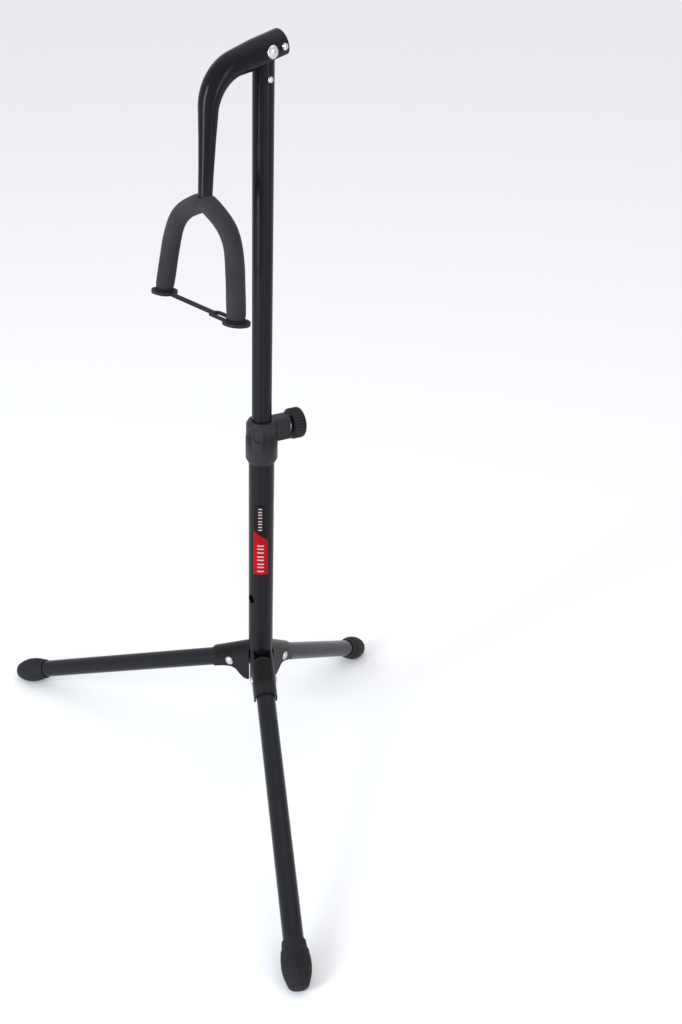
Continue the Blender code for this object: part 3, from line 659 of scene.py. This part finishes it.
def build_hub():
    order = sorted(LEGS, key=lambda leg: leg[1])
    boss = revolve([(BOSS_R, PLATE_Z[0]), (BOSS_R, LOWER_Z[0] - GAP)], segments=56)
    obj = mesh_object("leg_hub", boss, "hub_black")
    combine(obj, revolve([(13.0, PLATE_Z[0]), (13.0, PLATE_Z[1])], segments=56), "UNION")
    for i, (_, az, radius) in enumerate(order):
        turn = Matrix.Rotation(math.radians(az), 4, "Z")
        inset = 0.15 * (i + 1)
        web = block((4.0, -11.0, PLATE_Z[0] + inset), (16.0 + inset, 11.0, PLATE_Z[1] - inset), turn)
        combine(obj, web, "UNION")
        after = order[(i + 1) % 3][1]
        before = order[i - 1][1]
        combine(obj, hub_arm(az, radius, after, before), "UNION")
    cut(obj, revolve([(LOWER_R + 0.35, LOWER_Z[0] - 0.15), (LOWER_R + 0.35, 180.0)], segments=64))
    front = Matrix.Rotation(math.radians(LEGS[1][1]), 4, "Z")
    cut(obj, block((5.0, -8.6, LOWER_Z[0] - 5.0), (20.0, 8.6, 180.0), front))
    cut(obj, revolve([(BOSS_R + 0.02, LOWER_Z[0] - GAP), (BOSS_R + 0.02, 180.0)], segments=56))
    cut(obj, revolve([(4.4, 120.0), (4.4, 160.0)], segments=40))
    for _, az, radius in LEGS:
        slope = leg_slope(radius)
        down = heading(az) * math.cos(slope) - Vector((0.0, 0.0, math.sin(slope)))
        corner = leg_point(az, radius, ARM_END - 0.4, ARM_ROOF_GAP + LEG_R / math.cos(slope) + SHEET)
        cut(obj, block((-40.0, -40.0, 0.0), (40.0, 40.0, 25.0), axis_frame(corner, down)))
        hole = [(RIVET_HOLE, -14.0), (RIVET_HOLE, 14.0)]
        cut(obj, revolve(hole, axis_frame(leg_pivot(az, radius), tangent(az)), 36))
    place(obj)


def build_hub_fixings():
    place(mesh_object("base_washer", revolve(BASE_WASHER, segments=56, closed=True), "screw_steel"))
    screw = mesh_object("base_screw", revolve(BASE_SHANK, segments=36), "screw_steel")
    combine(screw, revolve(BASE_HEAD, segments=6), "UNION")
    place(screw)


def flatten_on_floor(bm):
    """Cut away what would be below the floor, leaving a flat contact patch."""
    found = bmesh.ops.bisect_plane(bm, geom=bm.verts[:] + bm.edges[:] + bm.faces[:], dist=1e-4,
                                   plane_co=(0.0, 0.0, 0.0), plane_no=(0.0, 0.0, 1.0), clear_inner=True)
    edges = [e for e in found["geom_cut"] if isinstance(e, bmesh.types.BMEdge)]
    bmesh.ops.contextual_create(bm, geom=edges)
    bmesh.ops.recalc_face_normals(bm, faces=bm.faces)


def build_leg(name, az, radius):
    slope = leg_slope(radius)
    down = heading(az) * math.cos(slope) - Vector((0.0, 0.0, math.sin(slope)))
    pivot = leg_pivot(az, radius)
    middle = leg_point(az, radius, radius)
    mouth = middle - down * (FOOT_LENGTH / 2.0)
    start = leg_point(az, radius, PIVOT_RHO) - down * LEG_STUB
    length = (mouth - start).length + LEG_IN_FOOT
    shell = pipe(LEG_R, LEG_R - LEG_WALL, 0.0, length, axis_frame(start, down), segments=56)
    tube = mesh_object(f"leg_tube_{name}", shell, "tube_black")
    cut(tube, revolve([(RIVET_HOLE, -14.0), (RIVET_HOLE, 14.0)], axis_frame(pivot, tangent(az)), 36))
    place(tube)
    foot = foot_rings(mouth, down)
    flatten_on_floor(foot)
    place(mesh_object(f"foot_{name}", foot, "rubber_grey"))
    place(rivet(f"leg_rivet_{name}", pivot, tangent(az), ARM_HALF_OUT + GAP, RIVET_SHANK, *LEG_RIVET_HEAD))


# ---------------------------------------------------------------- neck arm and yoke


def arm_path():
    """Stations along the neck arm from its tail to its stem: (point, direction, radius)."""
    slope = math.radians(TAIL_SLOPE)
    ahead = Vector((0.0, -math.cos(slope), -math.sin(slope)))
    hinge = Vector((0.0, 0.0, HINGE_Z))
    turn = math.radians(STEM_SLOPE - TAIL_SLOPE)
    reach = BEND_RADIUS * math.tan(turn / 2.0)
    start = hinge + ahead * (BEND_CORNER - reach)
    inward = Vector((0.0, math.sin(slope), -math.cos(slope)))
    center = start + inward * BEND_RADIUS
    stations = [(hinge - ahead * TAIL_LENGTH, ahead, TAIL_R), (hinge + ahead * 10.0, ahead, TAIL_R)]
    stations.append((start, ahead, BEND_START_R))
    bends = 24
    for i in range(1, bends + 1):
        a = turn * i / bends
        out = -inward * math.cos(a) + ahead * math.sin(a)
        direction = ahead * math.cos(a) + inward * math.sin(a)
        radius = BEND_END_R + BEND_SWELL * (1.0 - (i / bends) ** 2)
        stations.append((center + out * BEND_RADIUS, direction, radius))
    last, direction, _ = stations[-1]
    for z, radius in STEM_RADII:
        stations.append((last + direction * ((last.z - z) / -direction.z), direction, radius))
    return stations


def build_neck_arm():
    outer, inner = [], []
    for point, direction, radius in arm_path():
        frame = axis_frame(point, direction, RIGHTWARD)
        outer.append(ellipse(frame, radius, radius, 56))
        inner.append(ellipse(frame, radius - ARM_WALL, radius - ARM_WALL, 56))
    obj = mesh_object("neck_arm", loft(outer + inner[::-1], closed=True), "tube_black")
    slope = math.radians(TAIL_SLOPE)
    ahead = Vector((0.0, -math.cos(slope), -math.sin(slope)))
    hinge = Vector((0.0, 0.0, HINGE_Z))
    frame = axis_frame(hinge, ahead, RIGHTWARD)
    cut(obj, block((0.5, -UPPER_R - GAP, -30.0), (16.0, UPPER_R + GAP, ARM_SLOT_FRONT), frame))
    cut_across(obj, hinge, HINGE_BORE, FINE)
    tail = axis_frame(hinge - ahead * TAIL_RIVET_BACK, RIGHTWARD)
    cut(obj, revolve([(TAIL_BORE, 5.0), (TAIL_BORE, CUT_REACH)], tail, 28))
    place(obj)
    place(rivet("hinge_rivet", hinge, RIGHTWARD, TAIL_R + GAP, *HINGE_RIVET_SIZE))
    place(mesh_object("tail_rivet", revolve(TAIL_STUB, tail, 32), "rivet_steel"))


def yoke_down():
    lean = math.radians(YOKE_LEAN)
    return Vector((0.0, -math.sin(lean), -math.cos(lean)))


def yoke_curve(side, steps, tip):
    """Points of one side of the yoke from its apex to the end of its straight tip."""
    down = yoke_down()
    (_, _), (x1, d1), (x2, d2), (x3, d3) = YOKE_CURVE
    points = []
    for i in range(steps + 1):
        t = i / steps
        a, b, c = 3.0 * t * (1.0 - t) ** 2, 3.0 * t * t * (1.0 - t), t ** 3
        across, fall = a * x1 + b * x2 + c * x3, a * d1 + b * d2 + c * d3
        points.append(APEX + Vector((side * across, 0.0, 0.0)) + down * fall)
    points.append(APEX + Vector((side * YOKE_HALF, 0.0, 0.0)) + down * (YOKE_DROP + tip))
    return points


def directions(points):
    out = []
    for i in range(len(points)):
        a = points[max(0, i - 1)]
        b = points[min(len(points) - 1, i + 1)]
        out.append((b - a).normalized())
    return out


def sweep(points, radius, segments, hint):
    rings = []
    for point, direction in zip(points, directions(points)):
        rings.append(ellipse(axis_frame(point, direction, hint), radius, radius, segments))
    return rings


def tip_frame(side):
    down = yoke_down()
    start = APEX + Vector((side * YOKE_HALF, 0.0, 0.0)) + down * (YOKE_DROP + FOAM_TIP + GAP)
    return axis_frame(start, down, BACKWARD)


def build_strap():
    """Elastic strap: a ring on the left tip, a narrow band and a long eyelet hooked over the right tip."""
    apex = APEX + yoke_down() * (YOKE_DROP + FOAM_TIP + GAP)
    frame = axis_frame(apex, yoke_down(), BACKWARD)
    flip = 1.0 if (frame.to_3x3() @ RIGHTWARD).x > 0.0 else -1.0
    z0, z1 = STRAP_Z
    ring_out, ring_in = STRAP_RING
    eyelet_out, eyelet_in = STRAP_EYELET

    def lozenge(x0, x1, r, lo, hi):
        """Round-ended plate from x0 to x1."""
        ends = [(x1, -90.0), (x0, 90.0)]
        outline = []
        for x, first in ends:
            for i in range(13):
                a = math.radians(first + 15.0 * i)
                outline.append((flip * (x + r * math.cos(a)), r * math.sin(a)))
        return prism(outline, lo, hi, frame)

    left, right = -YOKE_HALF, YOKE_HALF
    obj = mesh_object("neck_strap", lozenge(left - 0.01, left + 0.01, ring_out, z0, z1), "rubber_grey")
    combine(obj, lozenge(right, right + 1.0, ring_out, z0, z1), "UNION")
    combine(obj, lozenge(EYELET_X[0], right, eyelet_out, z0 + 0.15, z1 - 0.15), "UNION")
    combine(obj, lozenge(left + 9.5, 22.0, STRAP_BAND, z0 + 0.3, z1 - 0.3), "UNION")
    cut(obj, lozenge(left - 0.01, left + 0.01, ring_in, z0 - 2.0, z1 + 2.0))
    cut(obj, lozenge(right, right + 0.01, ring_in, z0 - 2.0, z1 + 2.0))
    cut(obj, lozenge(EYELET_X[1], right, eyelet_in, z0 - 2.0, z1 + 2.0))
    place(obj)


# ---------------------------------------------------------------- detail that only the looks have


def rounded(profile, radius, steps=4):
    """Profile with its corners turned into short arcs; the two ends stay."""
    points = [profile[0]]
    for before, here, after in zip(profile, profile[1:], profile[2:]):
        a, b, c = Vector(before), Vector(here), Vector(after)
        reach = min(radius, (a - b).length * 0.45, (c - b).length * 0.45)
        p = b + (a - b).normalized() * reach
        q = b + (c - b).normalized() * reach
        for i in range(steps + 1):
            t = i / steps
            points.append(tuple(p * (1 - t) ** 2 + b * 2 * t * (1 - t) + q * t ** 2))
    points.append(profile[-1])
    return points


def grip_depth(along, angle):
    """How far the moulded grip pads of a foot are let in at a point of its side, from 0 to 1."""
    near, far, row_pitch = GRIP_ALONG
    first, last, column_pitch = GRIP_ROUND
    if not near < along < far or not first < angle < last:
        return 0.0
    row = 0.5 - 0.5 * math.cos(2.0 * math.pi * (along - near) / row_pitch)
    column = 0.5 - 0.5 * math.cos(2.0 * math.pi * (angle - first) / column_pitch)
    return max(1.0 - row, 1.0 - column) ** 6 if min(row, column) < 0.45 else 0.0


def foot_rings(mouth, down, segments=120):
    """Rubber boot with rows of small grip pads on its upper side."""
    bore_r, bore_depth = FOOT_BORE
    outline = rounded(list(FOOT_PROFILE) + [(0.0, FOOT_LENGTH)], 1.0)
    dense = []
    for (r0, s0), (r1, s1) in zip(outline, outline[1:]):
        count = max(1, round(abs(s1 - s0) / 0.45))
        dense += [(r0 + (r1 - r0) * i / count, s0 + (s1 - s0) * i / count) for i in range(count)]
    base = axis_frame(mouth, down)
    rings = [[base @ Vector((0.0, 0.0, bore_depth))]]
    for h in (bore_depth, 0.0):
        rings.append(ellipse(base @ Matrix.Translation((0.0, 0.0, h)), bore_r, bore_r, segments))
    up = (base.to_3x3().inverted() @ Vector((0.0, 0.0, 1.0)))
    first = math.degrees(math.atan2(up.y, up.x)) - 90.0
    for r, s in dense:
        ring = []
        for i in range(segments):
            turn = 360.0 * i / segments
            let_in = GRIP_DEPTH * grip_depth(s, (turn - first) % 360.0)
            a = math.radians(turn)
            ring.append(base @ Vector(((r - let_in) * math.cos(a), (r - let_in) * math.sin(a), s)))
        rings.append(ring)
    rings.append([base @ Vector((0.0, 0.0, FOOT_LENGTH))])
    return loft(rings)


def knob_profile():
    """Rings of the knob: radius, depth of the finger lobes, height along the screw."""
    h0, h1 = KNOB_SPAN
    spans = [(3.3, 0.0, 38.4), (3.3, 0.0, 28.6), (6.4, 0.0, 28.6), (7.2, 0.0, 29.4), (7.2, 0.0, h0 + 1.2)]
    spans += [(10.2, 0.0, h0 + 1.2), (11.2, 0.0, h0 + 0.1), (KNOB_R - 1.6, 0.1, h0)]
    spans.append((KNOB_R - 0.5, 0.5, h0 + 0.5))
    spans += [(KNOB_R, 0.9, h0 + 1.6), (KNOB_R, 0.9, h1 - 2.2), (KNOB_R - 0.6, 0.6, h1 - 0.8)]
    spans += [(KNOB_R - 1.9, 0.2, h1), (10.0, 0.0, h1), (9.3, 0.0, h1 - 0.3), (8.9, 0.0, h1 - 0.8)]
    return spans


def wavy_ring(frame, radius, depth, h):
    """Ring whose edge rises and falls smoothly into finger lobes."""
    ring = []
    count = KNOB_LOBES * 8
    for i in range(count):
        a = 2.0 * math.pi * i / count
        r = radius - depth * (0.5 - 0.5 * math.cos(a * KNOB_LOBES)) ** 2
        ring.append(frame @ Vector((r * math.cos(a), r * math.sin(a), h)))
    return ring


def build_knob():
    frame = clamp_frame()
    top = KNOB_SPAN[1] - 0.8
    rings = [[frame @ Vector((0.0, 0.0, 38.4))]]
    rings += [wavy_ring(frame, r, d, h) for r, d, h in knob_profile()]
    rings.append([frame @ Vector((0.0, 0.0, top))])
    place(mesh_object("clamp_knob", loft(rings), "plastic_dark"))


def foam_thickness(share):
    """Outside radius of a foam sleeve at a share of its length; it thins at the cut ends."""
    tip = 0.5 * math.exp(-((1.0 - share) / 0.02) ** 2)
    crown = 0.45 * math.exp(-(share / 0.03) ** 2)
    waver = 0.12 * math.sin(share * 9.0 + 0.6) + 0.07 * math.sin(share * 23.0)
    return FOAM_R[1] - 0.3 + waver - tip - crown


def foam_skin(ring, center):
    """Ring of the outside of the foam with the small dents that open cells leave."""
    skin = []
    for p in ring:
        dent = 0.5 + 0.5 * noise.noise(p * 0.9) + 0.6 * max(0.0, noise.noise(p * 2.3))
        skin.append(p + (center - p).normalized() * FOAM_DENT * dent)
    return skin


def foam_rings(side, normal, steps, segments):
    """Rings of one foam sleeve: outside from crown to tip, a rounded lip, then the bore back up."""
    points = yoke_curve(side, steps, FOAM_TIP)
    points[0] = points[0] + Vector((side * 0.2, 0.0, 0.0))
    aims = directions(points)
    spans = [(p - q).length for p, q in zip(points[1:], points)] + [0.0]
    total = sum(spans)
    gone = 0.0
    outer, inner = [], []
    for i, (point, aim) in enumerate(zip(points, aims)):
        ring_frame = axis_frame(point, aim, normal)
        share = gone / total
        radius = foam_thickness(share)
        outer.append(foam_skin(ellipse(ring_frame, radius, radius, segments), point))
        if i % 6 == 0 or i == len(points) - 1:
            inner.append(ellipse(ring_frame, FOAM_R[0], FOAM_R[0], segments))
        gone += spans[i]
    for ring in (outer[0], inner[0]):
        for p in ring:
            p.x = side * 0.2
    rim, back = outer[-1], aims[-1] * -0.8
    outer[-1] = [p + back for p in rim]
    lips = [[a.lerp(b, 0.05) + back * 0.3 for a, b in zip(rim, inner[-1])]]
    lips.append([a.lerp(b, 0.2) for a, b in zip(rim, inner[-1])])
    return outer + lips + inner[::-1]


def build_yoke():
    normal = RIGHTWARD.cross(yoke_down())
    left = yoke_curve(-1.0, 30, TIP_LENGTH)
    right = yoke_curve(1.0, 30, TIP_LENGTH)
    path = left[::-1] + right[1:]
    place(mesh_object("yoke_rod", loft(sweep(path, ROD_R, 28, normal)), "hub_black"))
    for side, tag in ((-1.0, "left"), (1.0, "right")):
        rings = foam_rings(side, normal, FOAM_STEPS, FOAM_ROUND)
        foam = mesh_object(f"foam_sleeve_{tag}", loft(rings, closed=True), "foam_grey")
        cut(foam, revolve([(6.6, 625.9), (6.9, 650.0)], Matrix.Translation((0.0, APEX.y, 0.0)), 48))
        place(foam)
        build_tip(side, tag)
    build_strap()


def build_tip(side, tag):
    """Shallow cap on the end of the foam, with a groove that holds the strap."""
    cap = revolve(rounded(TIP_PROFILE, 0.4), tip_frame(side), ROUND)
    place(mesh_object(f"tip_cap_{tag}", cap, "rubber_grey"))


# ---------------------------------------------------------------- carried-over nodes, light and camera


def dress_cad_nodes():
    """Give every CAD node that stays visible its own procedural finish."""
    for name, obj in frame["nodes"].items():
        finish = material(NODE_SLOT[name])
        obj.data.materials.clear()
        obj.data.materials.append(finish)
        for poly in obj.data.polygons:
            poly.material_index = 0


def build_floor():
    """Large flat pale floor just under the feet."""
    bm = bmesh.new()
    half = FLOOR_HALF
    corners = [(-half, -half), (half, -half), (half, half), (-half, half)]
    bm.faces.new([bm.verts.new((x, y, FLOOR_Z)) for x, y in corners])
    mesh = bpy.data.meshes.new("floor")
    bm.to_mesh(mesh)
    bm.free()
    floor = bpy.data.objects.new("floor", mesh)
    bpy.context.scene.collection.objects.link(floor)
    mat = bpy.data.materials.new("floor_white")
    mat.use_nodes = True
    shader = mat.node_tree.nodes["Principled BSDF"]
    shader.inputs["Base Color"].default_value = (0.95, 0.95, 0.955, 1.0)
    shader.inputs["Roughness"].default_value = 0.9
    shader.inputs["Specular IOR Level"].default_value = 0.1
    floor.data.materials.append(mat)


def area_light(name, at, aim, size, power, tint=(1.0, 1.0, 1.0)):
    data = bpy.data.lights.new(name, "AREA")
    data.shape = "RECTANGLE"
    data.size, data.size_y = size
    data.energy = power
    data.color = tint
    lamp = bpy.data.objects.new(name, data)
    bpy.context.scene.collection.objects.link(lamp)
    lamp.location = at
    lamp.rotation_mode = "QUATERNION"
    lamp.rotation_quaternion = (Vector(aim) - Vector(at)).to_track_quat("-Z", "Y")


def build_light():
    world = bpy.data.worlds.new("studio")
    bpy.context.scene.world = world
    bpy.context.scene.view_settings.view_transform = "Standard"
    world.use_nodes = True
    ground = world.node_tree.nodes["Background"]
    ground.inputs["Color"].default_value = (0.97, 0.98, 1.0, 1.0)
    ground.inputs["Strength"].default_value = 0.88
    middle = (0.0, 0.0, 0.6)
    area_light("key", (0.1, -2.0, 0.9), middle, (0.3, 1.6), 34.0, (0.82, 0.9, 1.0))
    area_light("fill", (2.4, 0.4, 0.85), middle, (0.14, 1.4), 9.0)
    area_light("top", (0.3, 0.4, 3.0), middle, (2.4, 2.4), 8.0)


def build_camera():
    """Camera a little above the stand; the stand sits left of the middle of the frame."""
    data = bpy.data.cameras.new("camera")
    data.sensor_width = 36.0
    data.lens = 45.7
    data.shift_x = 0.0898
    data.clip_start, data.clip_end = 0.05, 50.0
    camera = bpy.data.objects.new("camera", data)
    bpy.context.scene.collection.objects.link(camera)
    turn, tilt = math.radians(52.0), math.radians(28.0)
    camera.location = (0.8847 + COLUMN_X * MM, -0.7065 + COLUMN_Y * MM, 0.909)
    camera.rotation_euler = (math.pi / 2.0 - tilt, 0.0, turn)
    bpy.context.scene.camera = camera


def main():
    build_camera()
    build_light()
    build_floor()
    dress_cad_nodes()
    build_lower_tube()
    sticker("label_upper", "label_dark", 316.8, 27.0, (292.0, 283.5), (320.0, 320.0), LABEL_MARKS_UPPER)
    sticker("label_lower", "label_red", 319.7, 33.3, (243.0, 243.0), (292.0, 281.6), LABEL_MARKS_LOWER)
    build_upper_tube()
    build_pivot_insert()
    build_collar()
    build_clamp_screw()
    build_knob()
    build_hub()
    build_hub_fixings()
    for name, az, radius in LEGS:
        build_leg(name, az, radius)
    build_neck_arm()
    build_yoke()


main()
